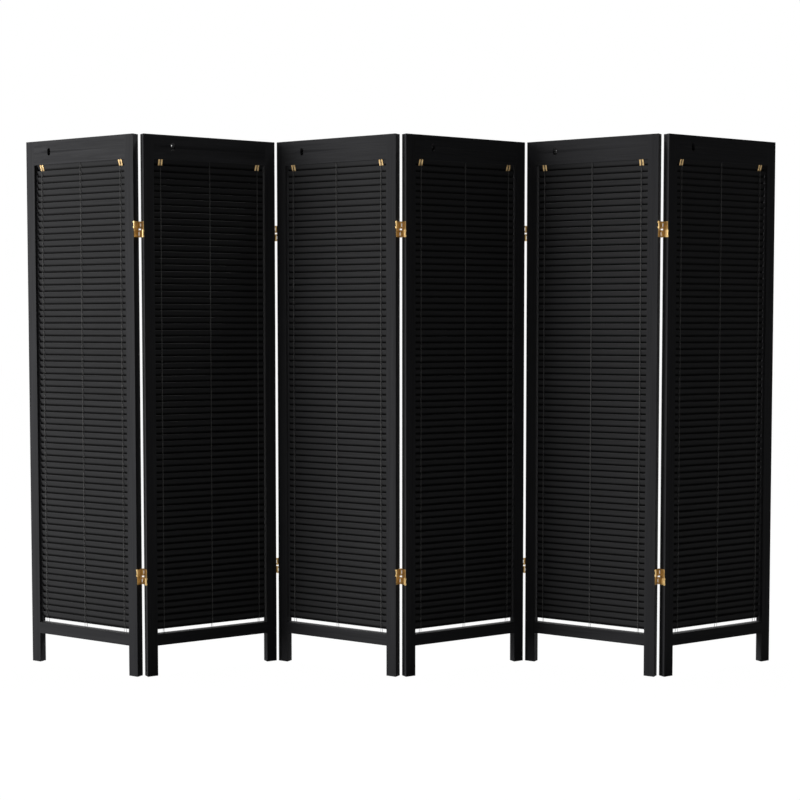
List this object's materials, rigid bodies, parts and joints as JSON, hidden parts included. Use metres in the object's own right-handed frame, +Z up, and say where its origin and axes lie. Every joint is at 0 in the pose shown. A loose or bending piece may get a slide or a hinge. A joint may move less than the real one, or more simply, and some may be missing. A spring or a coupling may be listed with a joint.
{
  "type": "folding room divider",
  "caption": "Free-standing folding screen of hinged wooden panels, each filled with closed horizontal blind slats on cord ladders under a slotted top rail.",
  "frame": {"origin": "middle of the footprint box, on the floor", "axes": "+X along the row of panels, +Y from the rear side, where the picture was taken, to the front, +Z up"},
  "size_m": [2.548, 0.2728, 1.78],
  "materials": {
    "frame": "black stain under a satin lacquer",
    "slats": "black stain under a satin lacquer",
    "cord": "braided polyester, dark grey",
    "brass": "polished brass plate",
    "rod": "zinc-plated steel",
    "lever": "black moulded"
  },
  "bodies": {
    "panel1": {"panel1_stiles": "frame", "panel1_top_rail": "frame", "panel1_bottom_rail": "frame", "panel1_slats": "slats", "panel1_ladder_cords": "cord", "panel1_slat_clips": "brass", "panel1_hinge_leaves": "brass", "seam1_hinge_links": "brass"},
    "tilt_gear1": {"panel1_tilt_rod": "rod", "panel1_tilt_lever": "lever"},
    "panel2": {"panel2_stiles": "frame", "panel2_top_rail": "frame", "panel2_bottom_rail": "frame", "panel2_slats": "slats", "panel2_ladder_cords": "cord", "panel2_slat_clips": "brass", "panel2_hinge_leaves": "brass", "seam2_hinge_links": "brass"},
    "tilt_gear2": {"panel2_tilt_rod": "rod", "panel2_tilt_lever": "lever"},
    "panel3": {"panel3_stiles": "frame", "panel3_top_rail": "frame", "panel3_bottom_rail": "frame", "panel3_slats": "slats", "panel3_ladder_cords": "cord", "panel3_slat_clips": "brass", "panel3_hinge_leaves": "brass", "seam3_hinge_links": "brass"},
    "tilt_gear3": {"panel3_tilt_rod": "rod", "panel3_tilt_lever": "lever"},
    "panel4": {"panel4_stiles": "frame", "panel4_top_rail": "frame", "panel4_bottom_rail": "frame", "panel4_slats": "slats", "panel4_ladder_cords": "cord", "panel4_slat_clips": "brass", "panel4_hinge_leaves": "brass", "seam4_hinge_links": "brass"},
    "tilt_gear4": {"panel4_tilt_rod": "rod", "panel4_tilt_lever": "lever"},
    "panel5": {"panel5_stiles": "frame", "panel5_top_rail": "frame", "panel5_bottom_rail": "frame", "panel5_slats": "slats", "panel5_ladder_cords": "cord", "panel5_slat_clips": "brass", "panel5_hinge_leaves": "brass", "seam5_hinge_links": "brass"},
    "tilt_gear5": {"panel5_tilt_rod": "rod", "panel5_tilt_lever": "lever"},
    "panel6": {"panel6_stiles": "frame", "panel6_top_rail": "frame", "panel6_bottom_rail": "frame", "panel6_slats": "slats", "panel6_ladder_cords": "cord", "panel6_slat_clips": "brass", "panel6_hinge_leaves": "brass"},
    "tilt_gear6": {"panel6_tilt_rod": "rod", "panel6_tilt_lever": "lever"}
  },
  "joints": [
    {"name": "seam1_fold", "type": "hinge", "parent": "panel1", "child": "panel2", "pos_m": [-0.85185, -0.10992, 0.90125], "axis": [0, 0, -1], "range_deg": [-112.7, 61.3]},
    {"name": "seam2_fold", "type": "hinge", "parent": "panel2", "child": "panel3", "pos_m": [-0.42593, 0.10992, 0.90125], "axis": [0, 0, 1], "range_deg": [-112.7, 61.3]},
    {"name": "seam3_fold", "type": "hinge", "parent": "panel3", "child": "panel4", "pos_m": [0, -0.10992, 0.90125], "axis": [0, 0, -1], "range_deg": [-112.7, 61.3]},
    {"name": "seam4_fold", "type": "hinge", "parent": "panel4", "child": "panel5", "pos_m": [0.42593, 0.10992, 0.90125], "axis": [0, 0, 1], "range_deg": [-112.7, 61.3]},
    {"name": "seam5_fold", "type": "hinge", "parent": "panel5", "child": "panel6", "pos_m": [0.85185, -0.10992, 0.90125], "axis": [0, 0, -1], "range_deg": [-112.7, 61.3]},
    {"name": "tilt_lever1", "type": "hinge", "parent": "panel1", "child": "tilt_gear1", "pos_m": [-1.17881, 0.06755, 1.742], "axis": [0.8603, -0.5098, 0], "range_deg": [0, 61.4]},
    {"name": "tilt_lever2", "type": "hinge", "parent": "panel2", "child": "tilt_gear2", "pos_m": [-0.75288, -0.06755, 1.742], "axis": [0.8603, 0.5098, 0], "range_deg": [0, 61.4]},
    {"name": "tilt_lever3", "type": "hinge", "parent": "panel3", "child": "tilt_gear3", "pos_m": [-0.32695, 0.06755, 1.742], "axis": [0.8603, -0.5098, 0], "range_deg": [0, 61.4]},
    {"name": "tilt_lever4", "type": "hinge", "parent": "panel4", "child": "tilt_gear4", "pos_m": [0.09897, -0.06755, 1.742], "axis": [0.8603, 0.5098, 0], "range_deg": [0, 61.4]},
    {"name": "tilt_lever5", "type": "hinge", "parent": "panel5", "child": "tilt_gear5", "pos_m": [0.5249, 0.06755, 1.742], "axis": [0.8603, -0.5098, 0], "range_deg": [0, 61.4]},
    {"name": "tilt_lever6", "type": "hinge", "parent": "panel6", "child": "tilt_gear6", "pos_m": [0.95083, -0.06755, 1.742], "axis": [0.8603, 0.5098, 0], "range_deg": [0, 61.4]}
  ]
}
